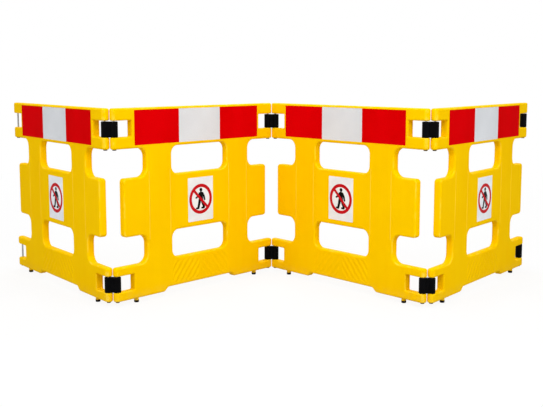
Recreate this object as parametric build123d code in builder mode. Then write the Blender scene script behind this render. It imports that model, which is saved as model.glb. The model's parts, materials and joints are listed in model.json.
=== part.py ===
from build123d import *
import os
from math import cos, radians, sin, tan

os.makedirs("parts", exist_ok=True)

# Folding barrier: four hollow moulded panels in a zig-zag, joined by plastic clips on steel pins.
# Millimetres. X runs to the viewer's right, Y away from the viewer, Z up from the floor.
# Each panel is drawn about its own middle: x along it, y through it with the front at -y, z up.

# Overall sizes of a panel
panel_height = 1000.0
pin_span = 1100.0
panel_thickness = 42.0
shell_wall = 2.5
edge_round = 10.0
underside_height = 24.0

# Rails, and the openings that leave the belt and its wings between them
top_rail_height = 204.0
bottom_rail_height = 175.0
window_height = 149.0
window_width = 396.0
window_corner = 43.0
notch_depth = 185.0
notch_corner = 47.0
wing_setback = 38.0
wing_corner = 18.0

# Shallow arch under the bottom rail
arch_width = 460.0
arch_rise = 22.0
arch_run = 25.0
arch_corner = 20.0

# Bays at the panel's ends, where a clip sits on a pin, and the arms under them
bay_depth = 95.0
bay_height = 83.0
upper_arm_height = 60.0
lower_arm_height = 48.0
bay_corner = 6.0
bay_round = 8.0

# Pins and their caps
pin_diameter = 10.0
pin_hole_clearance = 0.05
pin_cover = 10.0
pin_end_room = 1.0
pin_chamfer = 1.0
pin_boss_wall = 6.0
cap_wall = 5.0
cap_height = 5.0
cap_floor = 2.0
cap_round = 1.5

# Clips that link two pins; panels folded flat together lie the fold gap apart
fold_gap = 3.0
clip_lift = 0.3
clip_headroom = 3.7
clip_barrel_wall = 14.5
clip_web_thickness = 25.0
clip_web_blend = 3.0
clip_bore_clearance = 0.08
clip_snap_bite = 1.4
clip_mouth_lead = 2.5
clip_edge_round = 4.0

# Rubber feet, and the bosses that hold their stems
foot_setback = 119.0
foot_diameter = 25.0
foot_height = 13.0
foot_round = 3.0
foot_stem_diameter = 9.0
foot_stem_length = 14.0
foot_stem_clearance = 0.05
foot_socket_room = 1.0
foot_boss_wall = 7.5
foot_boss_top_wall = 3.0

# Reflective sheets in their recess on the top rail
sheet_end_margin = 15.0
sheet_top_margin = 11.5
sheet_bottom_margin = 15.5
sheet_thickness = 0.6
sheet_recess_depth = 1.0
sheet_border = 0.5
sheet_corner = 4.0
sheet_blocks = 3
sheet_gap = 0.2

# Sign plate on the middle of the belt
sign_width = 180.0
sign_top_margin = 33.0
sign_bottom_margin = 28.0
sign_thickness = 0.8
sign_corner = 4.0

# Slanted ribs with grooves between them on the bottom rail, and beads on the posts
rib_patch_inner = 10.0
rib_patch_width = 192.0
rib_top_margin = 14.0
rib_bottom_margin = 19.0
rib_angle = 51.0
rib_pitch = 38.0
rib_width = 18.5
rib_height = 1.1
rib_taper = 79.0
bead_width = 6.0
bead_height = 0.8
bead_inset = 14.0
bead_overrun = 30.0
bead_taper = 60.0

# How the barrier stands: each panel's turn from the X axis, and the free clips' swing
panel_yaws = (-51.9, 46.6, -47.9, 51.7)
end_clip_swing = 23.0

# Two places closer than this are the same
same_place = 0.01

# Worked out sizes of the panel
half_thickness = panel_thickness / 2
half_span = pin_span / 2
end_round = half_thickness
outline_reach = half_span + end_round + edge_round
top_rail_bottom = panel_height - top_rail_height
bottom_rail_top = underside_height + bottom_rail_height
belt_top = top_rail_bottom - window_height
belt_bottom = bottom_rail_top + window_height
belt_middle = (belt_top + belt_bottom) / 2
notch_inner = half_span - notch_depth
wing_reach = half_span - wing_setback
arch_top = underside_height + arch_rise
arch_half_width = arch_width / 2
arm_bottoms = (underside_height, top_rail_bottom)
bay_bottoms = (underside_height + lower_arm_height, top_rail_bottom + upper_arm_height)
front_plane = Plane.front.offset(half_thickness)
back_plane = Plane.back.offset(half_thickness)
inward_planes = (Plane.back.offset(-half_thickness), Plane.front.offset(-half_thickness))

# Worked out sizes of what the panel carries
pin_radius = pin_diameter / 2
pin_hole_radius = pin_radius + pin_hole_clearance
pin_boss_radius = pin_radius + pin_boss_wall
pin_grip = bottom_rail_top - bay_bottoms[0] - bay_height - pin_cover
cap_radius = pin_radius + cap_wall
link_pitch = panel_thickness + fold_gap
clip_height = bay_height - clip_lift - clip_headroom
clip_radius = pin_radius + clip_barrel_wall
clip_mouth_width = pin_diameter - clip_snap_bite
clip_mouth_lead_side = clip_mouth_width / 2 ** 0.5 + clip_mouth_lead
foot_offset = half_span - foot_setback
foot_boss_radius = foot_stem_diameter / 2 + foot_boss_wall
foot_boss_top = foot_height + foot_stem_length + foot_socket_room + foot_boss_top_wall
sheet_height = top_rail_height - sheet_top_margin - sheet_bottom_margin
sheet_middle = top_rail_bottom + sheet_bottom_margin + sheet_height / 2
sheet_row_length = 2 * (half_span - bay_depth - sheet_end_margin)
sheet_block_length = sheet_row_length / sheet_blocks
sign_bottom = belt_bottom + sign_bottom_margin
sign_height = belt_top - sign_top_margin - sign_bottom
rib_patch_bottom = arch_top + rib_bottom_margin
rib_patch_height = bottom_rail_top - rib_top_margin - rib_patch_bottom
rib_patch_middle = rib_patch_bottom + rib_patch_height / 2
rib_patch_offset = rib_patch_inner + rib_patch_width / 2
rib_lean = rib_patch_height / tan(radians(rib_angle))
rib_length = rib_patch_width + rib_patch_height
rib_thickness = rib_width * sin(radians(rib_angle))
rib_count = 1 + 2 * int(((rib_patch_width + rib_lean) / 2 - rib_width) / rib_pitch)


def along(yaw, distance):
    """A step of that length in the floor plane, at that turn from the X axis."""
    return Vector(distance * cos(radians(yaw)), distance * sin(radians(yaw)), 0)


# Pin lines of the standing barrier, chained from the middle hinge outwards
link_yaws = [(a + b) / 2 for a, b in zip(panel_yaws, panel_yaws[1:])]
left_pins = [Vector(0, 0, 0)] * 4
right_pins = [Vector(0, 0, 0)] * 4
right_pins[1] = along(link_yaws[1], -link_pitch / 2)
left_pins[1] = right_pins[1] + along(panel_yaws[1], -pin_span)
right_pins[0] = left_pins[1] + along(link_yaws[0], -link_pitch)
left_pins[0] = right_pins[0] + along(panel_yaws[0], -pin_span)
left_pins[2] = along(link_yaws[1], link_pitch / 2)
right_pins[2] = left_pins[2] + along(panel_yaws[2], pin_span)
left_pins[3] = right_pins[2] + along(link_yaws[2], link_pitch)
right_pins[3] = left_pins[3] + along(panel_yaws[3], pin_span)
end_clip_yaw = panel_yaws[3] + end_clip_swing
free_jaw = right_pins[3] + along(end_clip_yaw, link_pitch)

# The origin is on the floor under the middle of the barrier's box
reaches = [(pin, end_round) for pin in left_pins + right_pins] + [(free_jaw, clip_radius)]
middle = Vector(
    (min(p.X - r for p, r in reaches) + max(p.X + r for p, r in reaches)) / 2,
    (min(p.Y - r for p, r in reaches) + max(p.Y + r for p, r in reaches)) / 2,
    0,
)


def panel_place(index):
    """Where a panel drawn about its own middle stands."""
    centre = (left_pins[index] + right_pins[index]) / 2 - middle
    return Location((centre.X, centre.Y, 0), (0, 0, panel_yaws[index]))


def clip_place(pin, yaw, bay_bottom):
    """Where a clip drawn about its own middle hangs, from its first pin and its turn."""
    centre = pin + along(yaw, link_pitch / 2) - middle
    return Location((centre.X, centre.Y, bay_bottom + clip_lift), (0, 0, yaw))


def export_piece(piece, name):
    """Labels a placed piece and writes its file."""
    piece.label = name
    export_step(piece, f"parts/{name}.step")


# Right half of a panel's front outline, from the arch up to the top, with each corner's radius
right_corners = [
    (arch_half_width, arch_top, arch_corner),
    (arch_half_width + arch_run, underside_height, arch_corner),
    (outline_reach, underside_height, 0),
    (outline_reach, bottom_rail_top, 0),
    (notch_inner, bottom_rail_top, notch_corner),
    (notch_inner, belt_bottom, notch_corner),
    (wing_reach, belt_bottom, wing_corner),
    (wing_reach, belt_top, wing_corner),
    (notch_inner, belt_top, notch_corner),
    (notch_inner, top_rail_bottom, notch_corner),
    (outline_reach, top_rail_bottom, 0),
    (outline_reach, panel_height, 0),
]
left_corners = [(-x, z, r) for x, z, r in reversed(right_corners)]
corners = right_corners + left_corners

with BuildSketch(Plane.XZ) as outline:
    with BuildLine():
        FilletPolyline([(x, z) for x, z, r in corners], radius=[r for x, z, r in corners], close=True)
    make_face()
    for low, high in ((belt_top, top_rail_bottom), (bottom_rail_top, belt_bottom)):
        with Locations((0, (low + high) / 2)):
            RectangleRounded(window_width, high - low, window_corner, mode=Mode.SUBTRACT)

with BuildSketch(Plane.XZ) as inner_outline:
    add(outline.sketch)
    offset(amount=-shell_wall, mode=Mode.REPLACE)


def rounded_slab(face, inset):
    """A panel's thick slab from its outline, with half-round ends and soft edges."""
    depth = half_thickness - inset
    with BuildPart() as slab:
        with BuildSketch(Plane.XZ):
            add(face)
        extrude(amount=depth, both=True)
        with BuildSketch(Plane.XY):
            SlotCenterToCenter(pin_span, 2 * depth)
        extrude(amount=panel_height, mode=Mode.INTERSECT)
        on_faces = slab.edges().filter_by(lambda e: abs(abs(e.center().Y) - depth) < same_place)
        on_faces = on_faces.filter_by(lambda e: abs(abs(e.center().X) - half_span) > same_place)
        end_arcs = slab.edges().filter_by(GeomType.CIRCLE)
        end_arcs = end_arcs.filter_by(lambda e: abs(e.radius - depth) < same_place)
        fillet(on_faces + end_arcs, edge_round - inset)
    return slab.part


def bay_blocks(inset):
    """Blocks that fill the four bays, larger all round by inset."""
    with BuildPart() as blocks:
        with BuildSketch(Plane.XZ):
            for bottom in bay_bottoms:
                middle_z = bottom + bay_height / 2
                with Locations((-half_span, middle_z), (half_span, middle_z)):
                    RectangleRounded(2 * (bay_depth + inset), bay_height + 2 * inset, bay_corner + inset)
        extrude(amount=panel_thickness, both=True)
    return blocks.part


def slanted_bars(plane, count):
    """Low slanted bars that stand on a plane, in two patches that lean together."""
    with BuildPart() as bars:
        with BuildSketch(plane):
            with Locations((rib_patch_offset, rib_patch_middle)):
                with GridLocations(rib_pitch, 0, count, 1):
                    Rectangle(rib_length, rib_thickness, rotation=-rib_angle)
        extrude(amount=rib_height, taper=rib_taper)
        with BuildSketch(plane):
            with Locations((rib_patch_offset, rib_patch_middle)):
                Rectangle(rib_patch_width, rib_patch_height)
        extrude(amount=rib_height, taper=rib_taper, mode=Mode.INTERSECT)
        mirror(about=Plane.YZ)
    return bars.part


def raised_beads(plane):
    """Fine upright beads of one face, beside the edges of the posts."""
    tall = belt_top - belt_bottom + 2 * bead_overrun
    with BuildPart() as beads:
        with BuildSketch(plane):
            for x in (window_width / 2 + bead_inset, notch_inner - bead_inset):
                with Locations((-x, belt_middle), (x, belt_middle)):
                    Rectangle(bead_width, tall)
        extrude(amount=bead_height, taper=bead_taper)
    return beads.part


# Solid posts inside a panel, round its pins and its feet
with BuildPart() as inner_posts:
    with Locations((-half_span, 0), (half_span, 0)):
        Cylinder(pin_boss_radius, panel_height, align=(Align.CENTER, Align.CENTER, Align.MIN))
    with Locations((-foot_offset, 0), (foot_offset, 0)):
        Cylinder(foot_boss_radius, foot_boss_top, align=(Align.CENTER, Align.CENTER, Align.MIN))

with BuildPart() as panel_cavity:
    add(rounded_slab(inner_outline.sketch, shell_wall))
    add(bay_blocks(shell_wall), mode=Mode.SUBTRACT)
    fillet(panel_cavity.edges(Select.LAST).filter_by(Axis.Y, reverse=True), bay_round - shell_wall)
    for plane in (front_plane, back_plane):
        with BuildSketch(plane):
            with Locations((-rib_patch_offset, rib_patch_middle), (rib_patch_offset, rib_patch_middle)):
                Rectangle(rib_patch_width, rib_patch_height)
        extrude(amount=-(shell_wall + rib_height), mode=Mode.SUBTRACT)
    add(inner_posts.part, mode=Mode.SUBTRACT)

# One hollow moulded panel
with BuildPart() as panel_shell:
    add(rounded_slab(outline.sketch, 0))
    add(bay_blocks(0), mode=Mode.SUBTRACT)
    fillet(panel_shell.edges(Select.LAST).filter_by(Axis.Y, reverse=True), bay_round)
    with BuildSketch(Plane.XY.offset(foot_height)):
        with Locations((-foot_offset, 0), (foot_offset, 0)):
            Circle(foot_boss_radius)
    extrude(amount=foot_boss_top - foot_height)
    for plane, inward_plane in zip((front_plane, back_plane), inward_planes):
        add(slanted_bars(plane, rib_count))
        add(slanted_bars(inward_plane, rib_count - 1), mode=Mode.SUBTRACT)
        add(raised_beads(plane))
        with BuildSketch(plane):
            with Locations((0, sheet_middle)):
                RectangleRounded(
                    sheet_row_length + 2 * sheet_border, sheet_height + 2 * sheet_border, sheet_corner
                )
        extrude(amount=-sheet_recess_depth, mode=Mode.SUBTRACT)
    add(panel_cavity.part, mode=Mode.SUBTRACT)
    for arm_bottom, bay_bottom in zip(arm_bottoms, bay_bottoms):
        pin_hole_top = bay_bottom + bay_height + pin_grip + pin_end_room
        with BuildSketch(Plane.XY.offset(arm_bottom)):
            with Locations((-half_span, 0), (half_span, 0)):
                Circle(pin_hole_radius)
        extrude(amount=pin_hole_top - arm_bottom, mode=Mode.SUBTRACT)
    with BuildSketch(Plane.XY.offset(foot_height)):
        with Locations((-foot_offset, 0), (foot_offset, 0)):
            Circle(foot_stem_diameter / 2 + foot_stem_clearance)
    extrude(amount=foot_stem_length + foot_socket_room, mode=Mode.SUBTRACT)

# The two reflective end sheets, and the middle one, in the front recess
with BuildPart() as red_sheets:
    with BuildSketch(front_plane.offset(-sheet_recess_depth)):
        with Locations((-sheet_block_length, sheet_middle), (sheet_block_length, sheet_middle)):
            RectangleRounded(sheet_block_length - sheet_gap, sheet_height, sheet_corner)
    extrude(amount=sheet_thickness)

with BuildPart() as white_sheet:
    with BuildSketch(front_plane.offset(-sheet_recess_depth)):
        with Locations((0, sheet_middle)):
            RectangleRounded(sheet_block_length - sheet_gap, sheet_height, sheet_corner)
    extrude(amount=sheet_thickness)

# Sign plate on the front of the belt
with BuildPart() as sign_plate:
    with BuildSketch(front_plane):
        with Locations((0, sign_bottom + sign_height / 2)):
            RectangleRounded(sign_width, sign_height, sign_corner)
    extrude(amount=sign_thickness)

# A pair of rubber feet, each with a stem in its socket
with BuildPart() as rubber_feet:
    with Locations((-foot_offset, 0), (foot_offset, 0)):
        Cylinder(foot_diameter / 2, foot_height, align=(Align.CENTER, Align.CENTER, Align.MIN))
    fillet(rubber_feet.edges().filter_by(GeomType.CIRCLE).group_by(Axis.Z)[0], foot_round)
    with BuildSketch(Plane.XY.offset(foot_height)):
        with Locations((-foot_offset, 0), (foot_offset, 0)):
            Circle(foot_stem_diameter / 2)
    extrude(amount=foot_stem_length)

# The two pins of one end of a panel, lower and upper, drawn on the pin line
with BuildPart() as end_pins:
    for arm_bottom, bay_bottom in zip(arm_bottoms, bay_bottoms):
        pin_bottom = arm_bottom - cap_height + cap_floor
        with BuildSketch(Plane.XY.offset(pin_bottom)):
            Circle(pin_radius)
        extrude(amount=bay_bottom + bay_height + pin_grip - pin_bottom)
    chamfer(end_pins.edges().filter_by(GeomType.CIRCLE), pin_chamfer)

# Caps on the lower ends of a panel's four pins
with BuildPart() as pin_caps:
    for arm_bottom in arm_bottoms:
        with BuildSketch(Plane.XY.offset(arm_bottom - cap_height)):
            with Locations((-half_span, 0), (half_span, 0)):
                Circle(cap_radius)
        extrude(amount=cap_height)
        fillet(pin_caps.edges(Select.LAST).group_by(Axis.Z)[0], cap_round)
        with BuildSketch(Plane.XY.offset(arm_bottom)):
            with Locations((-half_span, 0), (half_span, 0)):
                Circle(pin_hole_radius)
        extrude(amount=-(cap_height - cap_floor), mode=Mode.SUBTRACT)

# A clip: two barrels and a web, with a snap mouth at the back of each bore
with BuildPart() as clip:
    with BuildSketch() as clip_section:
        Rectangle(link_pitch, clip_web_thickness)
        with Locations((-link_pitch / 2, 0), (link_pitch / 2, 0)):
            Circle(clip_radius)
        groove_corners = clip_section.vertices().filter_by(lambda v: abs(v.X) < link_pitch / 2)
        fillet(groove_corners, clip_web_blend)
    extrude(amount=clip_height)
    fillet(clip.faces().filter_by(Axis.Z).edges(), clip_edge_round)
    with BuildSketch():
        with Locations((-link_pitch / 2, 0), (link_pitch / 2, 0)):
            Circle(pin_radius + clip_bore_clearance)
            Rectangle(clip_mouth_width, 2 * clip_radius, align=(Align.CENTER, Align.MIN))
        with Locations((-link_pitch / 2, clip_radius), (link_pitch / 2, clip_radius)):
            Rectangle(clip_mouth_lead_side, clip_mouth_lead_side, rotation=45)
    extrude(amount=clip_height, mode=Mode.SUBTRACT)

# Every panel's pieces at their places
for index in range(4):
    number = index + 1
    place = panel_place(index)
    export_piece(panel_shell.part.moved(place), f"panel_shell_{number}")
    export_piece(red_sheets.part.moved(place), f"red_sheets_{number}")
    export_piece(white_sheet.part.moved(place), f"white_sheet_{number}")
    export_piece(sign_plate.part.moved(place), f"sign_plate_{number}")
    export_piece(rubber_feet.part.moved(place), f"rubber_feet_{number}")
    export_piece(pin_caps.part.moved(place), f"pin_caps_{number}")
    export_piece(end_pins.part.moved(place * Location((-half_span, 0, 0))), f"left_pins_{number}")
    export_piece(end_pins.part.moved(place * Location((half_span, 0, 0))), f"right_pins_{number}")

# Every clip at its place
for level, bay_bottom in zip(("lower", "upper"), bay_bottoms):
    for index in range(3):
        place = clip_place(right_pins[index], link_yaws[index], bay_bottom)
        export_piece(clip.part.moved(place), f"{level}_clip_{index + 1}_{index + 2}")
    place = clip_place(right_pins[3], end_clip_yaw, bay_bottom)
    export_piece(clip.part.moved(place), f"{level}_end_clip")
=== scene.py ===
import json
import math
from typing import NamedTuple

import bmesh
import bpy
from mathutils import Matrix, Vector


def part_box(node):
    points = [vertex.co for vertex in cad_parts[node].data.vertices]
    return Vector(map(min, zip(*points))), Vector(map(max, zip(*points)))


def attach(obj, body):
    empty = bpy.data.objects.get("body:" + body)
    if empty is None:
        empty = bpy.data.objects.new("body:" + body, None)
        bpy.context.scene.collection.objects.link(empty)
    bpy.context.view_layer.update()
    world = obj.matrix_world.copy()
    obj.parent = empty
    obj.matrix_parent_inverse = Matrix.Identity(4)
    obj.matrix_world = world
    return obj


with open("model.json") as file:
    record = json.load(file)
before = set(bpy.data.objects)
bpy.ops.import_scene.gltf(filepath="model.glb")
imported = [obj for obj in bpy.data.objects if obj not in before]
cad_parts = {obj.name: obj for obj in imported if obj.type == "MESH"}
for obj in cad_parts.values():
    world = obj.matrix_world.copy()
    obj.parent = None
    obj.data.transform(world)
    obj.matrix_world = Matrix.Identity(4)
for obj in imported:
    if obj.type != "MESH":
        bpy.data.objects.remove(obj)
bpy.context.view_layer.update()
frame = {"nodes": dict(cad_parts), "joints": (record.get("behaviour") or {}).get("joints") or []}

bl_info = {
    "name": "Folding barrier looks",
    "version": (1, 0, 0),
    "blender": (4, 5, 0),
    "location": "View3D > Sidebar > Barrier",
    "description": "Finishes, sign prints and studio stage of a four-panel folding barrier",
    "category": "Object",
}

PANELS = (1, 2, 3, 4)
CLIPS = [name for name in frame["nodes"] if "clip" in name]
IMAGE_WIDTH = 543
SENSOR_WIDTH = 36.0
MM = 0.001

# The walking figure in millimetres from the ring's middle: each limb's two ends and its width at each
FIGURE = {
    "trunk": ((2, 22), (2, 3), 28, 26),
    "shoulders": ((-7, 30), (11, 30), 14, 14),
    "neck": ((2, 40), (2, 34), 10, 10),
    "head": ((1.5, 49.5), (2.5, 49.5), 20, 20),
    "back upper arm": ((13, 29), (24, 11), 14, 13),
    "back forearm": ((24, 11), (29, -7), 13, 10),
    "front upper arm": ((-8, 29), (-17, 15), 14, 13),
    "front forearm": ((-17, 15), (-33, 8), 13, 10),
    "front thigh": ((-4, 3), (-10, -22), 21, 18),
    "front shin": ((-10, -22), (-17, -46), 18, 15),
    "front foot": ((-16, -49), (-30, -50), 13, 10),
    "back thigh": ((7, 3), (14, -22), 21, 18),
    "back shin": ((14, -22), (24, -45), 18, 15),
    "back foot": ((23, -49), (9, -50), 13, 10),
}
# Corners of the discs that limbs and rings start from, and the distance at which points are made one
LIMB_CORNERS = 32
RING_CORNERS = 128
MERGE_DISTANCE = 0.001 * MM

# Each lamp's place from the foot of the middle hinge, the setting of its power, and its share of the size
LAMPS = {
    "front_lamp": ((0.4, -4.6, 3.8), "front_power", 1.0),
    "left_lamp": ((-3.6, -3.4, 2.0), "side_power", 1.0),
    "right_lamp": ((3.6, -3.4, 2.0), "side_power", 1.0),
    "top_lamp": ((0, -1.2, 4.2), "top_power", 1.5),
    "back_lamp": ((0, 4.6, 3.0), "back_power", 1.0),
}
LAMP_AIM = 0.5
# The floor is all white from this many times the reach of its shadows
WHITE_FROM = 3

# How far a bead's foot and crest stand proud of a panel's face, and the heights between ribs and beads
BEAD_FOOT = 0.2 * MM
BEAD_CREST = 0.6 * MM
RIBS_END = 250 * MM
BEADS_START = 300 * MM

# Levels of noise between which soft patches, streaks, scuffs, clouds of dust and thin threads of ink come in
PATCH_LEVELS = (0.36, 0.64)
STREAK_LEVELS = (0.3, 0.8)
PLATING_LEVELS = (0.35, 0.75)
SCUFF_LEVELS = (0.46, 0.72)
DUST_LEVELS = (0.3, 0.75)
THREAD_LEVELS = (0.3, 0.7)
# How far a surface still faces the flat side where scuffs start and where they end, and where the seam shows
SCUFF_START = (0.99, 0.85)
SCUFF_END = (0.2, 0.5)
SEAM_FACING = (0.3, 0.15)
# Sums of three crossed waves, into a cell's wall and from its wall to its middle
CELL_WALL = (-0.7, -1.0)
CELL_DOME = (-1.5, 3.0)
# Scuffs, clouds of dust and threads per metre, and streaks per metre along each axis
SHELL_SCUFFS = 21.0
CLIP_SCUFFS = 90.0
DUST_CLOUDS = 38.0
INK_THREADS = 900.0
SHELL_STREAKS = (26.0, 26.0, 1.6)
PIN_STREAKS = (2200.0, 2200.0, 24.0)
# The coarse grain's scale against the fine grain's
COARSE_SHARE = 0.31


class Finish(NamedTuple):
    """A surface's soft patches per metre, roughness where clean, shine and depth of relief."""

    patches: float
    roughness: float
    shine: float
    relief: float


SHELL = Finish(patches=3.2, roughness=0.38, shine=0.003, relief=0.15 * MM)
SHEET = Finish(patches=4.5, roughness=0.3, shine=0.002, relief=0.03 * MM)
VINYL = Finish(patches=14.0, roughness=0.34, shine=0.03, relief=0.02 * MM)
INK = Finish(patches=30.0, roughness=0.36, shine=0.03, relief=0.015 * MM)
CLIP = Finish(patches=28.0, roughness=0.42, shine=0.03, relief=0.08 * MM)
CAP = Finish(patches=45.0, roughness=0.82, shine=0.15, relief=0.08 * MM)
RUBBER = Finish(patches=45.0, roughness=0.82, shine=0.06, relief=0.08 * MM)
STEEL = Finish(patches=60.0, roughness=0.26, shine=0.5, relief=0.01 * MM)


def paint(red, green, blue):
    """A colour written as screen levels from 0 to 255, as the linear values that shaders take."""
    levels = [level / 255 for level in (red, green, blue)]
    return [v / 12.92 if v <= 0.04045 else ((v + 0.055) / 1.055) ** 2.4 for v in levels]


def colour(name, description, *levels):
    """A colour setting, with its default in screen levels."""
    return bpy.props.FloatVectorProperty(
        name=name, description=description, subtype="COLOR", size=3, min=0, max=1, default=paint(*levels)
    )


def number(name, description, default, **rules):
    """A number setting, with its limits, unit or subtype as rules."""
    return bpy.props.FloatProperty(name=name, description=description, default=default, **rules)


def length(name, description, default):
    """A length setting in metres."""
    return number(name, description, default, subtype="DISTANCE", unit="LENGTH", min=0)


def amount(name, description, default):
    """A setting from 0 to 1."""
    return number(name, description, default, subtype="FACTOR", min=0, max=1)


def power(name, description, default):
    """A lamp's power setting in watts."""
    return number(name, description, default, unit="POWER", min=0)


def floor_point(node):
    """The middle of a CAD node's box, dropped to the floor."""
    low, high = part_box(node)
    middle = (low + high) / 2
    return Vector((middle.x, middle.y, 0))


def panel_centre(panel):
    """Where a panel's own middle stands on the floor."""
    return (floor_point(f"left_pins_{panel}") + floor_point(f"right_pins_{panel}")) / 2


def panel_turn(panel):
    """A panel's turn about the upright, from the X axis to its right-hand pins."""
    run = floor_point(f"right_pins_{panel}") - floor_point(f"left_pins_{panel}")
    return math.atan2(run.y, run.x)


def panel_place(panel):
    """A panel's own frame: x along it, the front at minus y, z up from the floor."""
    return Matrix.Translation(panel_centre(panel)) @ Matrix.Rotation(panel_turn(panel), 4, "Z")


def plate_sides(panel):
    """Where a sign plate's front and its back, on the panel's face, lie along the panel's own y."""
    to_panel = panel_place(panel).inverted()
    depths = [(to_panel @ vertex.co).y for vertex in frame["nodes"][f"sign_plate_{panel}"].data.vertices]
    return min(depths), max(depths)


def middle_hinge():
    """The floor point midway between the two pin lines of the middle hinge."""
    ends = [Vector(j["pos_m"]) for j in frame["joints"] if j["name"].startswith("fold_2_3")]
    middle = sum(ends, Vector()) / len(ends)
    return Vector((middle.x, middle.y, 0))


class BarrierColours(bpy.types.PropertyGroup):
    """Colours of the barrier's pieces as they look under plain white light, with painted highlights on the
    sheets and on the beads' crests.
    """

    shell: colour("Shell yellow", "Moulded plastic of the panels", 254, 205, 0)
    shell_deep: colour("Shell deep yellow", "Thicker patches of the same plastic", 250, 195, 0)
    # Rubbed plastic on the edges as wear, and also the painted highlight laid on the beads' crests
    shell_wear_and_highlight: colour("Shell scuff", "Rubbed plastic on the panels' edges and beads", 255, 222, 92)
    dust: colour("Dust", "Dry dust near the floor", 176, 158, 124)
    red: colour("Sheet red", "Reflective end sheets", 214, 0, 2)
    # Painted highlight: a brighter red standing in for light the sheet throws back
    red_painted_highlight: colour("Sheet red glow", "Patches where the red sheet throws light back", 223, 0, 6)
    red_wall: colour("Sheet red cell wall", "Sealed walls between the red sheet's cells", 196, 2, 6)
    white: colour("Sheet white", "Reflective middle sheet", 219, 222, 226)
    # Painted highlight: a brighter white standing in for light the sheet throws back
    white_painted_highlight: colour("Sheet white glow", "Patches where the white sheet throws light back", 226, 229, 233)
    white_wall: colour("Sheet white cell wall", "Sealed walls of the white sheet's cells", 204, 207, 211)
    sign: colour("Sign white", "Face of the sign plates", 240, 243, 248)
    sign_shade: colour("Sign shade", "Faint unevenness of the sign face", 232, 235, 240)
    ring: colour("Ring red", "Printed ring and bar", 190, 14, 26)
    ring_thin: colour("Ring thin ink", "Thinner ink on the ring and bar", 204, 30, 38)
    figure: colour("Figure black", "Printed walking figure", 7, 7, 8)
    figure_thin: colour("Figure thin ink", "Thinner ink on the walking figure", 22, 22, 24)
    clip: colour("Clip black", "Moulded plastic of the clips", 4, 4, 5)
    clip_worn: colour("Clip scuff", "Rubbed plastic on the clips' edges", 30, 30, 32)
    rubber: colour("Foot rubber", "Rubber feet", 12, 12, 12)
    cap: colour("Cap plastic", "Caps on the pins' ends", 40, 34, 26)
    steel: colour("Pin steel", "Zinc-plated steel of the pins", 170, 172, 174)
    steel_dull: colour("Pin steel dull", "Duller streaks of the plating", 128, 130, 132)


class BarrierSign(bpy.types.PropertyGroup):
    """Sizes of the print on each sign plate."""

    ring_radius: length("Ring radius", "Outer radius of the printed ring", 82 * MM)
    ring_width: length("Ring width", "Width of the ring's band", 18 * MM)
    bar_width: length("Bar width", "Width of the slanted bar", 15 * MM)
    ring_height: length("Ring height", "Height of the ring's middle above the floor", 495 * MM)
    figure_scale: number("Figure scale", "Size of the walking figure against its drawing", 1.0, min=0.1)
    figure_film: length("Figure film", "Thickness of the figure's ink", 0.10 * MM)
    ring_film: length("Ring film", "Thickness of the ring's ink, laid over the figure", 0.18 * MM)
    lift: length("Lift", "Room between the plate and the ink", 0.01 * MM)


class BarrierSurface(bpy.types.PropertyGroup):
    """Scale and strength of the finishes."""

    shell_grain: length("Shell grain", "Size of the mould's grain on the panels", 1.6 * MM)
    clip_grain: length("Clip grain", "Size of the mould's grain on the clips and caps", 0.9 * MM)
    rubber_grain: length("Rubber grain", "Size of the grain on the feet", 0.7 * MM)
    vinyl_grain: length("Vinyl grain", "Size of the faint peel on the sign face", 1.2 * MM)
    cell: length("Sheet cell", "Distance from cell to cell in the reflective sheets", 4.0 * MM)
    seam: length("Mould seam", "Width of the mould's parting line round each panel", 1.2 * MM)
    dust_reach: length("Dust reach", "Height up to which dust has settled", 90 * MM)
    scuff: amount("Scuffing", "How much the edges are rubbed", 0.4)
    # Strength of the painted highlight on the beads' crests, made lighter as if rubbed
    bead_highlight: amount("Bead rub", "How much the crests of the beads on the belt are rubbed", 0.24)
    dusting: amount("Dusting", "How much dust lies near the floor", 0.16)


class BarrierStage(bpy.types.PropertyGroup):
    """Camera, lamps and floor."""

    focal_pixels: number("Focal length", "Focal length in pixels of the image", 869.4, min=1)
    camera_distance: length("Camera distance", "From the middle hinge back to the camera", 5.091)
    camera_height: length("Camera height", "Height of the camera above the floor", 1.168)
    camera_pitch: number("Camera pitch", "Tilt of the camera below level", 0.1214, subtype="ANGLE")
    axis_rise: number("Axis rise", "Height of the lens axis above the image's middle, in pixels", 23.5)
    ambient: number("Ambient light", "Strength of the even light from all round", 0.57, min=0)
    front_power: power("Front lamp", "Power of the lamp over the camera", 100)
    side_power: power("Side lamps", "Power of each lamp at the side", 35)
    top_power: power("Top lamp", "Power of the overhead lamp", 58)
    back_power: power("Back lamp", "Power of the lamp behind the barrier", 115)
    lamp_size: length("Lamp size", "Side of each square lamp", 2.4)
    floor_size: length("Floor size", "Side of the square floor", 60.0)
    shadow_reach: length("Shadow reach", "How far from its middle the floor shows soft shadows", 2.0)
    floor_white: amount("Floor white", "How far the floor is washed out to white", 0.88)
    floor_shade: amount("Floor shade", "How pale the floor is to look at", 0.85)
    floor_bounce: amount("Floor bounce", "How much light the floor throws back at the barrier", 0.5)


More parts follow.
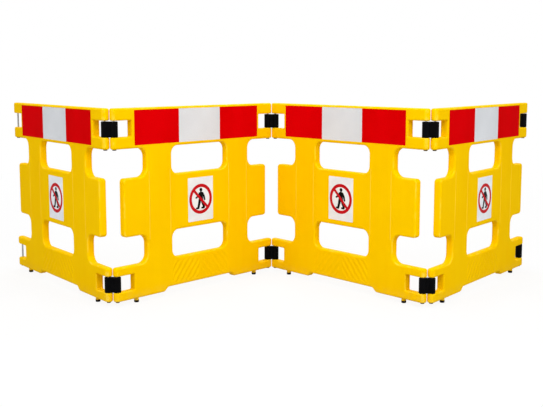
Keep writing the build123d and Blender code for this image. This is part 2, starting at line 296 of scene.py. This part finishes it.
class Wiring:
    """Wires up one node tree; an input takes a plain value or another node's output."""

    def __init__(self, tree):
        self.tree = tree

    def node(self, kind, settings=None, inputs=None):
        """Adds a node with its settings by name, and its inputs by name or number."""
        made = self.tree.nodes.new(kind)
        for name, value in (settings or {}).items():
            setattr(made, name, value)
        for key, value in (inputs or {}).items():
            self.feed(made.inputs[key], value)
        return made

    def feed(self, socket, value):
        """Links an output to a socket, or sets the socket's value."""
        if isinstance(value, bpy.types.NodeSocket):
            self.tree.links.new(value, socket)
        elif socket.type == "RGBA":
            socket.default_value = (*value, 1)
        else:
            socket.default_value = value

    def maths(self, operation, *values):
        """One arithmetic step."""
        return self.node("ShaderNodeMath", {"operation": operation}, dict(enumerate(values))).outputs[0]

    def build_up(self, start, *shares):
        """A start value, with each mask times its share added."""
        total = start
        for mask, share in shares:
            total = self.maths("MULTIPLY_ADD", mask, share, total)
        return total

    def span(self, value, start, end, low=0.0, high=1.0):
        """A smooth step from low to high as the value goes from start to end."""
        inputs = {"Value": value, "From Min": start, "From Max": end, "To Min": low, "To Max": high}
        return self.node("ShaderNodeMapRange", {"interpolation_type": "SMOOTHSTEP"}, inputs).outputs[0]

    def tint(self, mask, under, over):
        """The colour under, turned to the colour over where the mask is 1."""
        return self.node("ShaderNodeMix", {"data_type": "RGBA"}, {0: mask, 6: under, 7: over}).outputs[2]

    def noise(self, place, scale, detail):
        """Cloudy noise from 0 to 1."""
        inputs = {"Vector": place, "Scale": scale, "Detail": detail}
        return self.node("ShaderNodeTexNoise", None, inputs).outputs[0]

    def streaks(self, place, per_metre):
        """Noise drawn out along the axes with the fewest streaks per metre."""
        stretched = self.node("ShaderNodeVectorMath", {"operation": "MULTIPLY"}, {0: place, 1: per_metre})
        return self.noise(stretched.outputs[0], 1.0, detail=3.0)

    def parts(self, vector):
        """The three parts of a vector."""
        return self.node("ShaderNodeSeparateXYZ", None, {0: vector}).outputs

    def group(self, tree, inputs):
        """Places a node group and gives its outputs."""
        return self.node("ShaderNodeGroup", {"node_tree": tree}, inputs).outputs


def shader_group(name, inputs, outputs, wire):
    """A node group with named sockets, wired once and shared by the materials."""
    tree = bpy.data.node_groups.get(name)
    if tree:
        return tree
    tree = bpy.data.node_groups.new(name, "ShaderNodeTree")
    for socket, kind in inputs.items():
        tree.interface.new_socket(socket, in_out="INPUT", socket_type=f"NodeSocket{kind}")
    for socket in outputs:
        tree.interface.new_socket(socket, in_out="OUTPUT", socket_type="NodeSocketFloat")
    wiring = Wiring(tree)
    source = wiring.node("NodeGroupInput").outputs
    sink = wiring.node("NodeGroupOutput").inputs
    for socket, value in wire(wiring, source).items():
        wiring.feed(sink[socket], value)
    return tree


def moulded_grain():
    """Fine pebbled grain of a moulded surface."""

    def wire(w, source):
        scale = w.maths("DIVIDE", 1.0, source["Grain Size"])
        pebbles = w.noise(source["Place"], scale, detail=1.0)
        coarse = w.noise(source["Place"], w.maths("MULTIPLY", scale, COARSE_SHARE), detail=2.0)
        return {"Height": w.build_up(0.0, (pebbles, 0.5), (coarse, 0.5))}

    return shader_group("moulded_grain", {"Place": "Vector", "Grain Size": "Float"}, ["Height"], wire)


def slow_blotch():
    """Broad soft patches, from 0 to 1."""

    def wire(w, source):
        clouds = w.noise(source["Place"], source["Patches Per Metre"], detail=3.0)
        return {"Patch": w.span(clouds, *PATCH_LEVELS)}

    return shader_group("slow_blotch", {"Place": "Vector", "Patches Per Metre": "Float"}, ["Patch"], wire)


def edge_scuff():
    """Rubbed patches on rounded edges; Facing is 1 on the flat faces and 0 on the sides."""

    def wire(w, source):
        outer = w.span(source["Facing"], *SCUFF_START)
        inner = w.span(source["Facing"], *SCUFF_END)
        clouds = w.noise(source["Place"], source["Patches Per Metre"], detail=4.0)
        patches = w.span(clouds, *SCUFF_LEVELS)
        return {"Mask": w.maths("MULTIPLY", w.maths("MULTIPLY", outer, inner), patches)}

    inputs = {"Place": "Vector", "Facing": "Float", "Patches Per Metre": "Float"}
    return shader_group("edge_scuff", inputs, ["Mask"], wire)


def settled_dust():
    """Dry dust that thins out from the floor up to a height."""

    def wire(w, source):
        low = w.span(w.parts(source["Place"])["Z"], source["Reach"], 0.0)
        clouds = w.span(w.noise(source["Place"], DUST_CLOUDS, detail=5.0), *DUST_LEVELS)
        return {"Mask": w.maths("MULTIPLY", low, clouds)}

    return shader_group("settled_dust", {"Place": "Vector", "Reach": "Float"}, ["Mask"], wire)


def honeycomb_walls():
    """Six-sided cell walls across a panel's face, as three crossed waves make them."""

    def wire(w, source):
        step = w.maths("DIVIDE", 4 * math.pi / math.sqrt(3), source["Cell"])
        waves = []
        for angle in (0, math.pi / 3, 2 * math.pi / 3):
            way = (math.cos(angle), 0, math.sin(angle))
            run = w.node("ShaderNodeVectorMath", {"operation": "DOT_PRODUCT"}, {0: source["Place"], 1: way})
            waves.append(w.maths("COSINE", w.maths("MULTIPLY", run.outputs["Value"], step)))
        total = w.maths("ADD", waves[0], w.maths("ADD", waves[1], waves[2]))
        return {"Wall": w.span(total, *CELL_WALL), "Dome": w.span(total, *CELL_DOME)}

    return shader_group("honeycomb_walls", {"Place": "Vector", "Cell": "Float"}, ["Wall", "Dome"], wire)


def start_material(name, panel=None):
    """A new material with its wiring and the place on it, in a panel's own frame if one is given."""
    material = bpy.data.materials.new(name)
    material.use_nodes = True
    material.node_tree.nodes.clear()
    wiring = Wiring(material.node_tree)
    place = wiring.node("ShaderNodeTexCoord").outputs["Object"]
    if panel is not None:
        to_panel = {"Vector": place, "Location": panel_centre(panel), "Rotation": (0, 0, panel_turn(panel))}
        place = wiring.node("ShaderNodeMapping", {"vector_type": "TEXTURE"}, to_panel).outputs[0]
    return material, wiring, place


def facing_along(wiring, axis, turn=0.0):
    """How squarely a surface faces either way along an axis of a frame with a turn about the upright."""
    normal = wiring.node("ShaderNodeTexCoord").outputs["Normal"]
    to_frame = {"Vector": normal, "Rotation": (0, 0, -turn)}
    turned = wiring.node("ShaderNodeMapping", {"vector_type": "NORMAL"}, to_frame).outputs[0]
    return wiring.maths("ABSOLUTE", wiring.parts(turned)[axis])


def soft_patches(wiring, place, finish):
    """Places the finish's soft patches."""
    return wiring.group(slow_blotch(), {"Place": place, "Patches Per Metre": finish.patches})["Patch"]


def grain(wiring, place, size):
    """Places moulded grain of a size."""
    return wiring.group(moulded_grain(), {"Place": place, "Grain Size": size})["Height"]


def scuffs(wiring, place, facing, per_metre):
    """Places scuffs along the edges of the faces."""
    inputs = {"Place": place, "Facing": facing, "Patches Per Metre": per_metre}
    return wiring.group(edge_scuff(), inputs)["Mask"]


def floor_dust(wiring, place):
    """Places dust near the floor."""
    reach = bpy.context.scene.barrier_surface.dust_reach
    return wiring.group(settled_dust(), {"Place": place, "Reach": reach})["Mask"]


def finish_material(wiring, finish, base, roughness, height, metallic=0.0):
    """Puts a surface with its relief on a material."""
    relief = {"Height": height, "Strength": 1.0, "Distance": finish.relief}
    inputs = {
        "Base Color": base,
        "Metallic": metallic,
        "Roughness": roughness,
        "Specular IOR Level": finish.shine,
        "Normal": wiring.node("ShaderNodeBump", None, relief).outputs[0],
    }
    surface = wiring.node("ShaderNodeBsdfPrincipled", None, inputs)
    wiring.node("ShaderNodeOutputMaterial", None, {"Surface": surface.outputs[0]})


def yellow_plastic(panel):
    """Blow-moulded yellow plastic of one panel: parting line, grain, scuffed edges, a painted highlight on
    the beads' crests, and dust.
    """
    colours, sizes = bpy.context.scene.barrier_colours, bpy.context.scene.barrier_surface
    material, w, place = start_material(f"yellow_shell_{panel}", panel)
    facing = facing_along(w, "Y", panel_turn(panel))
    off_seam = w.maths("ABSOLUTE", w.parts(place)["Y"])
    blotch = soft_patches(w, place, SHELL)
    streak = w.span(w.streaks(place, SHELL_STREAKS), *STREAK_LEVELS)
    scuff = scuffs(w, place, facing, SHELL_SCUFFS)
    dust = floor_dust(w, place)
    face = abs(plate_sides(panel)[1])
    # Painted highlight: the crests of the beads on the belt are made lighter, standing in for light catching
    # them
    crest = w.span(off_seam, face + BEAD_FOOT, face + BEAD_CREST)
    bead_crest_highlight = w.maths("MULTIPLY", crest, w.span(w.parts(place)["Z"], RIBS_END, BEADS_START))
    base = w.tint(w.build_up(0.0, (streak, 0.3), (blotch, 0.35)), colours.shell, colours.shell_deep)
    base = w.tint(w.maths("MULTIPLY", scuff, sizes.scuff), base, colours.shell_wear_and_highlight)
    base = w.tint(w.maths("MULTIPLY", dust, sizes.dusting), base, colours.dust)
    base = w.tint(w.maths("MULTIPLY", bead_crest_highlight, sizes.bead_highlight), base, colours.shell_wear_and_highlight)
    roughness = w.build_up(SHELL.roughness, (scuff, 0.14), (blotch, 0.08), (dust, 0.2))
    seam = w.maths("MULTIPLY", w.span(off_seam, sizes.seam, sizes.seam / 4), w.span(facing, *SEAM_FACING))
    height = w.build_up(0.0, (grain(w, place, sizes.shell_grain), 0.6), (seam, 2.5))
    finish_material(w, SHELL, base, roughness, height)
    return material


def reflective_film(panel, name, body, glow, wall):
    """Reflective sheet of one panel: sealed cells under a clear film, with softly brighter patches of painted
    highlight for the light the sheet throws back.
    """
    material, w, place = start_material(f"{name}_{panel}", panel)
    cells = w.group(honeycomb_walls(), {"Place": place, "Cell": bpy.context.scene.barrier_surface.cell})
    patch = soft_patches(w, place, SHEET)
    # Painted highlight: soft patches turn the sheet to its brighter colour, standing in for light thrown back
    base = w.tint(patch, body, glow)
    base = w.tint(w.maths("MULTIPLY", cells["Wall"], 0.55), base, wall)
    roughness = w.build_up(SHEET.roughness, (patch, 0.06), (cells["Wall"], 0.12))
    finish_material(w, SHEET, base, roughness, cells["Dome"])
    return material


def sign_vinyl(panel):
    """White vinyl face of a sign plate, with a faint peel."""
    colours, sizes = bpy.context.scene.barrier_colours, bpy.context.scene.barrier_surface
    material, w, place = start_material(f"sign_face_{panel}", panel)
    patch = soft_patches(w, place, VINYL)
    base = w.tint(patch, colours.sign, colours.sign_shade)
    roughness = w.build_up(VINYL.roughness, (patch, 0.08))
    finish_material(w, VINYL, base, roughness, grain(w, place, sizes.vinyl_grain))
    return material


def screen_ink(name, full, thin):
    """Screen-printed ink, a little thinner in patches and along the screen's threads."""
    sizes = bpy.context.scene.barrier_surface
    material, w, place = start_material(name)
    patch = soft_patches(w, place, INK)
    threads = w.span(w.noise(place, INK_THREADS, detail=2.0), *THREAD_LEVELS)
    base = w.tint(w.maths("MULTIPLY", patch, threads), full, thin)
    roughness = w.build_up(INK.roughness, (patch, 0.1))
    finish_material(w, INK, base, roughness, grain(w, place, sizes.vinyl_grain))
    return material


def black_plastic():
    """Moulded black plastic of the clips, rubbed grey along its rounded edges."""
    colours, sizes = bpy.context.scene.barrier_colours, bpy.context.scene.barrier_surface
    material, w, place = start_material("clip_plastic")
    patch = soft_patches(w, place, CLIP)
    scuff = scuffs(w, place, facing_along(w, "Z"), CLIP_SCUFFS)
    base = w.tint(w.build_up(0.0, (patch, 0.08), (scuff, 0.6)), colours.clip, colours.clip_worn)
    roughness = w.build_up(CLIP.roughness, (scuff, 0.15), (patch, 0.1))
    finish_material(w, CLIP, base, roughness, grain(w, place, sizes.clip_grain))
    return material


def dusty_black(name, finish, body, grain_size):
    """Dark rubber or plastic that gathers dust."""
    material, w, place = start_material(name)
    patch = soft_patches(w, place, finish)
    dusting = w.build_up(0.0, (patch, 0.01), (floor_dust(w, place), 0.03))
    base = w.tint(dusting, body, bpy.context.scene.barrier_colours.dust)
    roughness = w.build_up(finish.roughness, (patch, -0.12))
    finish_material(w, finish, base, roughness, grain(w, place, grain_size))
    return material


def plated_steel():
    """Zinc-plated steel with fine drawn streaks along the pins."""
    colours = bpy.context.scene.barrier_colours
    material, w, place = start_material("pin_steel")
    streaks = w.streaks(place, PIN_STREAKS)
    dull = w.build_up(0.0, (w.span(streaks, *PLATING_LEVELS), 0.5), (soft_patches(w, place, STEEL), 0.4))
    base = w.tint(dull, colours.steel, colours.steel_dull)
    roughness = w.build_up(STEEL.roughness, (dull, 0.2))
    finish_material(w, STEEL, base, roughness, streaks, metallic=1.0)
    return material


def dress(node, material):
    """Gives a CAD node its finish."""
    for slot in frame["nodes"][node].material_slots:
        slot.material = material


def new_flat_disc(radius, middle, corners):
    """Adds a filled disc on the drawing plane, half a step turned, alone selected and in edit mode."""
    bpy.ops.object.select_all(action="DESELECT")
    half_step = math.pi / corners
    bpy.ops.mesh.primitive_circle_add(
        vertices=corners, radius=radius, fill_type="NGON", location=(*middle, 0), rotation=(0, 0, half_step)
    )
    bpy.ops.object.transform_apply(location=True, rotation=True, scale=True)
    bpy.ops.object.mode_set(mode="EDIT")
    return bpy.context.object


def select_where(test):
    """Selects, in edit mode, the vertices whose place passes a test, and what joins them."""
    mesh = bmesh.from_edit_mesh(bpy.context.object.data)
    bpy.ops.mesh.select_all(action="DESELECT")
    bpy.ops.mesh.select_mode(type="VERT")
    for vertex in mesh.verts:
        vertex.select = test(vertex.co)
    mesh.select_flush_mode()
    bmesh.update_edit_mesh(bpy.context.object.data)


def thicken(piece, film):
    """Turns a flat drawing into a film that stands on the drawing plane."""
    bpy.context.view_layer.objects.active = piece
    bpy.ops.object.mode_set(mode="EDIT")
    bpy.ops.mesh.select_all(action="SELECT")
    bpy.ops.mesh.remove_doubles(threshold=MERGE_DISTANCE)
    bpy.ops.mesh.normals_make_consistent(inside=False)
    bpy.ops.object.mode_set(mode="OBJECT")
    modifier = piece.modifiers.new("film", "SOLIDIFY")
    modifier.thickness = film
    modifier.offset = 1
    bpy.ops.object.modifier_apply(modifier=modifier.name)


def join_pieces(pieces):
    """Joins pieces into the first one."""
    bpy.ops.object.select_all(action="DESELECT")
    for piece in pieces:
        piece.select_set(True)
    bpy.context.view_layer.objects.active = pieces[0]
    bpy.ops.object.join()
    return pieces[0]


def unite(piece, other):
    """Makes another piece one with the first, and drops it."""
    bpy.ops.object.select_all(action="DESELECT")
    bpy.context.view_layer.objects.active = piece
    modifier = piece.modifiers.new("union", "BOOLEAN")
    modifier.operation = "UNION"
    modifier.object = other
    bpy.ops.object.modifier_apply(modifier=modifier.name)
    bpy.data.objects.remove(other)


def tapered_limb(start, end, start_width, end_width, film):
    """A rounded limb from one point to another: a disc whose front half is drawn out and resized."""
    way = Vector((*end, 0)) - Vector((*start, 0))
    limb = new_flat_disc(start_width / 2, start, LIMB_CORNERS)
    select_where(lambda point: (point - Vector((*start, 0))).dot(way) > 0)
    bpy.ops.transform.translate(value=way)
    share = end_width / start_width
    bpy.ops.transform.resize(value=(share, share, 1), center_override=(*end, 0))
    bpy.ops.object.mode_set(mode="OBJECT")
    thicken(limb, film)
    return limb


def draw_ring(sign):
    """Draws the ring with its slanted bar, about the drawing plane's origin."""
    ring = new_flat_disc(sign.ring_radius, (0, 0), RING_CORNERS)
    bpy.ops.mesh.select_all(action="SELECT")
    bpy.ops.mesh.inset(thickness=sign.ring_width)
    bpy.ops.mesh.delete(type="FACE")
    bpy.ops.object.mode_set(mode="OBJECT")
    bar = new_flat_disc(sign.ring_radius - sign.ring_width, (0, 0), RING_CORNERS)
    for side in (1, -1):
        across = Vector((1, 1, 0)).normalized() * side
        bpy.ops.mesh.select_all(action="SELECT")
        bpy.ops.mesh.bisect(plane_co=across * sign.bar_width / 2, plane_no=across, clear_outer=True)
    bpy.ops.object.mode_set(mode="OBJECT")
    thicken(ring, sign.ring_film)
    thicken(bar, sign.ring_film)
    return join_pieces([ring, bar])


def draw_figure(sign):
    """Draws a plain walking figure, about the drawing plane's origin, from rounded limbs made one."""
    size = MM * sign.figure_scale
    figure = None
    for start, end, start_width, end_width in FIGURE.values():
        ends = [(x * size, y * size) for x, y in (start, end)]
        limb = tapered_limb(*ends, start_width * size, end_width * size, sign.figure_film)
        if figure is None:
            figure = limb
        else:
            unite(figure, limb)
    return figure


def set_on_signs(drawing, name, material, sign):
    """Sets a copy of a drawing on every sign plate, riding with its panel, and drops the drawing."""
    upright = Matrix.Rotation(math.pi / 2, 4, "X")
    for panel in PANELS:
        front = plate_sides(panel)[0]
        stand = Matrix.Translation((0, front - sign.lift, sign.ring_height)) @ upright
        bpy.ops.object.select_all(action="DESELECT")
        drawing.select_set(True)
        bpy.context.view_layer.objects.active = drawing
        bpy.ops.object.duplicate(linked=False)
        piece = bpy.context.object
        piece.name = f"{name}_{panel}"
        piece.matrix_world = panel_place(panel) @ stand
        bpy.ops.object.transform_apply(location=True, rotation=True, scale=True)
        piece.data.materials.append(material)
        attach(piece, f"panel_{panel}")
    bpy.data.objects.remove(drawing)


class BARRIER_OT_shells(bpy.types.Operator):
    """Finish the four panel shells in yellow moulded plastic"""

    bl_idname = "barrier.shells"
    bl_label = "Panel shells"

    def execute(self, context):
        for panel in PANELS:
            dress(f"panel_shell_{panel}", yellow_plastic(panel))
        return {"FINISHED"}


class BARRIER_OT_sheets(bpy.types.Operator):
    """Finish the red and white reflective sheets"""

    bl_idname = "barrier.sheets"
    bl_label = "Reflective sheets"

    def execute(self, context):
        c = context.scene.barrier_colours
        for panel in PANELS:
            red = reflective_film(panel, "red_sheet", c.red, c.red_painted_highlight, c.red_wall)
            dress(f"red_sheets_{panel}", red)
            white = reflective_film(panel, "white_sheet", c.white, c.white_painted_highlight, c.white_wall)
            dress(f"white_sheet_{panel}", white)
        return {"FINISHED"}


class BARRIER_OT_sign_plates(bpy.types.Operator):
    """Finish the white sign plates"""

    bl_idname = "barrier.sign_plates"
    bl_label = "Sign plates"

    def execute(self, context):
        for panel in PANELS:
            dress(f"sign_plate_{panel}", sign_vinyl(panel))
        return {"FINISHED"}


class BARRIER_OT_sign_figures(bpy.types.Operator):
    """Print a plain walking figure on every sign plate"""

    bl_idname = "barrier.sign_figures"
    bl_label = "Sign figures"

    def execute(self, context):
        colours, sign = context.scene.barrier_colours, context.scene.barrier_sign
        ink = screen_ink("figure_ink", colours.figure, colours.figure_thin)
        set_on_signs(draw_figure(sign), "sign_figure", ink, sign)
        return {"FINISHED"}


class BARRIER_OT_sign_rings(bpy.types.Operator):
    """Print a red ring with a slanted bar over every walking figure"""

    bl_idname = "barrier.sign_rings"
    bl_label = "Sign rings"

    def execute(self, context):
        colours, sign = context.scene.barrier_colours, context.scene.barrier_sign
        ink = screen_ink("ring_ink", colours.ring, colours.ring_thin)
        set_on_signs(draw_ring(sign), "sign_ring", ink, sign)
        return {"FINISHED"}


class BARRIER_OT_clips(bpy.types.Operator):
    """Finish the hinge clips and end clips in black plastic"""

    bl_idname = "barrier.clips"
    bl_label = "Clips"

    def execute(self, context):
        plastic = black_plastic()
        for node in CLIPS:
            dress(node, plastic)
        return {"FINISHED"}


class BARRIER_OT_pins(bpy.types.Operator):
    """Finish the steel pins and the caps on their ends"""

    bl_idname = "barrier.pins"
    bl_label = "Pins and caps"

    def execute(self, context):
        colours, sizes = context.scene.barrier_colours, context.scene.barrier_surface
        steel = plated_steel()
        plastic = dusty_black("cap_plastic", CAP, colours.cap, sizes.clip_grain)
        for panel in PANELS:
            dress(f"left_pins_{panel}", steel)
            dress(f"right_pins_{panel}", steel)
            dress(f"pin_caps_{panel}", plastic)
        return {"FINISHED"}


class BARRIER_OT_feet(bpy.types.Operator):
    """Finish the rubber feet"""

    bl_idname = "barrier.feet"
    bl_label = "Rubber feet"

    def execute(self, context):
        colours, sizes = context.scene.barrier_colours, context.scene.barrier_surface
        rubber = dusty_black("foot_rubber", RUBBER, colours.rubber, sizes.rubber_grain)
        for panel in PANELS:
            dress(f"rubber_feet_{panel}", rubber)
        return {"FINISHED"}


def seen_directly(wiring):
    """1 for the camera, for mirrors and for glass, and 0 for the light that falls on things."""
    path = wiring.node("ShaderNodeLightPath").outputs
    mirrored = wiring.maths("MAXIMUM", path["Is Glossy Ray"], path["Is Transmission Ray"])
    return wiring.maths("MAXIMUM", path["Is Camera Ray"], mirrored)


def white_surroundings(stage):
    """An even white world: full white to look at, softer as a light."""
    world = bpy.data.worlds.new("white_studio")
    world.use_nodes = True
    world.node_tree.nodes.clear()
    w = Wiring(world.node_tree)
    levels = {"Value": seen_directly(w), "To Min": stage.ambient, "To Max": 1.0}
    strength = w.node("ShaderNodeMapRange", None, levels).outputs[0]
    light = w.node("ShaderNodeBackground", None, {"Color": (1, 1, 1), "Strength": strength})
    w.node("ShaderNodeOutputWorld", None, {"Surface": light.outputs[0]})
    return world


def white_floor(stage):
    """A pale floor that keeps a soft shadow."""
    material, w, place = start_material("studio_floor")
    seen = seen_directly(w)
    shade = w.tint(seen, [stage.floor_bounce] * 3, [stage.floor_shade] * 3)
    paper = w.node("ShaderNodeBsdfDiffuse", None, {"Color": shade})
    glow = w.node("ShaderNodeEmission", None, {"Color": (1, 1, 1), "Strength": 1.0})
    away = w.node("ShaderNodeVectorMath", {"operation": "LENGTH"}, {0: place}).outputs["Value"]
    fade = w.span(away, stage.shadow_reach, WHITE_FROM * stage.shadow_reach, stage.floor_white, 1.0)
    share = w.maths("MULTIPLY", seen, fade)
    mixed = w.node("ShaderNodeMixShader", None, {0: share, 1: paper.outputs[0], 2: glow.outputs[0]})
    w.node("ShaderNodeOutputMaterial", None, {"Surface": mixed.outputs[0]})
    bpy.ops.object.select_all(action="DESELECT")
    bpy.ops.mesh.primitive_plane_add(size=stage.floor_size, location=(0, 0, 0))
    floor = bpy.context.object
    floor.name = "studio_floor"
    floor.data.materials.append(material)


def soft_lamp(name, place, aim, watts, size):
    """A square soft lamp that points at a place."""
    lamp = bpy.data.objects.new(name, bpy.data.lights.new(name, "AREA"))
    lamp.data.energy = watts
    lamp.data.size = size
    lamp.location = place
    lamp.rotation_euler = (aim - place).to_track_quat("-Z", "Y").to_euler()
    bpy.context.scene.collection.objects.link(lamp)


def photo_camera(stage, hinge):
    """The photo's camera: its lens axis runs above the image's middle."""
    camera = bpy.data.objects.new("camera", bpy.data.cameras.new("camera"))
    camera.data.sensor_width = SENSOR_WIDTH
    camera.data.lens = stage.focal_pixels / IMAGE_WIDTH * SENSOR_WIDTH
    camera.data.shift_y = -stage.axis_rise / IMAGE_WIDTH
    camera.location = hinge + Vector((0, -stage.camera_distance, stage.camera_height))
    camera.rotation_euler = (math.pi / 2 - stage.camera_pitch, 0, 0)
    bpy.context.scene.collection.objects.link(camera)
    return camera


class BARRIER_OT_stage(bpy.types.Operator):
    """Set up the floor, the lamps, the white surroundings and the camera"""

    bl_idname = "barrier.stage"
    bl_label = "Studio stage"

    def execute(self, context):
        stage = context.scene.barrier_stage
        context.scene.view_settings.view_transform = "Standard"
        context.scene.world = white_surroundings(stage)
        white_floor(stage)
        hinge = middle_hinge()
        aim = hinge + Vector((0, 0, LAMP_AIM))
        for name, (place, setting, share) in LAMPS.items():
            soft_lamp(name, hinge + Vector(place), aim, getattr(stage, setting), stage.lamp_size * share)
        context.scene.camera = photo_camera(stage, hinge)
        return {"FINISHED"}


class BARRIER_PT_looks(bpy.types.Panel):
    """Lists the barrier's steps and settings"""

    bl_label = "Folding barrier"
    bl_space_type = "VIEW_3D"
    bl_region_type = "UI"
    bl_category = "Barrier"

    def draw(self, context):
        for operator in OPERATORS:
            self.layout.operator(operator.bl_idname)
        for name in SETTINGS:
            settings = getattr(context.scene, name)
            box = self.layout.box()
            for key in settings.__annotations__:
                box.prop(settings, key)


SETTINGS = {
    "barrier_colours": BarrierColours,
    "barrier_sign": BarrierSign,
    "barrier_surface": BarrierSurface,
    "barrier_stage": BarrierStage,
}
OPERATORS = [
    BARRIER_OT_shells,
    BARRIER_OT_sheets,
    BARRIER_OT_sign_plates,
    BARRIER_OT_sign_figures,
    BARRIER_OT_sign_rings,
    BARRIER_OT_clips,
    BARRIER_OT_pins,
    BARRIER_OT_feet,
    BARRIER_OT_stage,
]
CLASSES = [*SETTINGS.values(), *OPERATORS, BARRIER_PT_looks]


def register():
    for cls in CLASSES:
        bpy.utils.register_class(cls)
    for name, group in SETTINGS.items():
        setattr(bpy.types.Scene, name, bpy.props.PointerProperty(type=group))


def unregister():
    for name in SETTINGS:
        delattr(bpy.types.Scene, name)
    for cls in reversed(CLASSES):
        bpy.utils.unregister_class(cls)


def main():
    """Runs every step in order."""
    register()
    bpy.ops.barrier.shells()
    bpy.ops.barrier.sheets()
    bpy.ops.barrier.sign_plates()
    bpy.ops.barrier.sign_figures()
    bpy.ops.barrier.sign_rings()
    bpy.ops.barrier.clips()
    bpy.ops.barrier.pins()
    bpy.ops.barrier.feet()
    bpy.ops.barrier.stage()


if __name__ == "__main__":
    main()
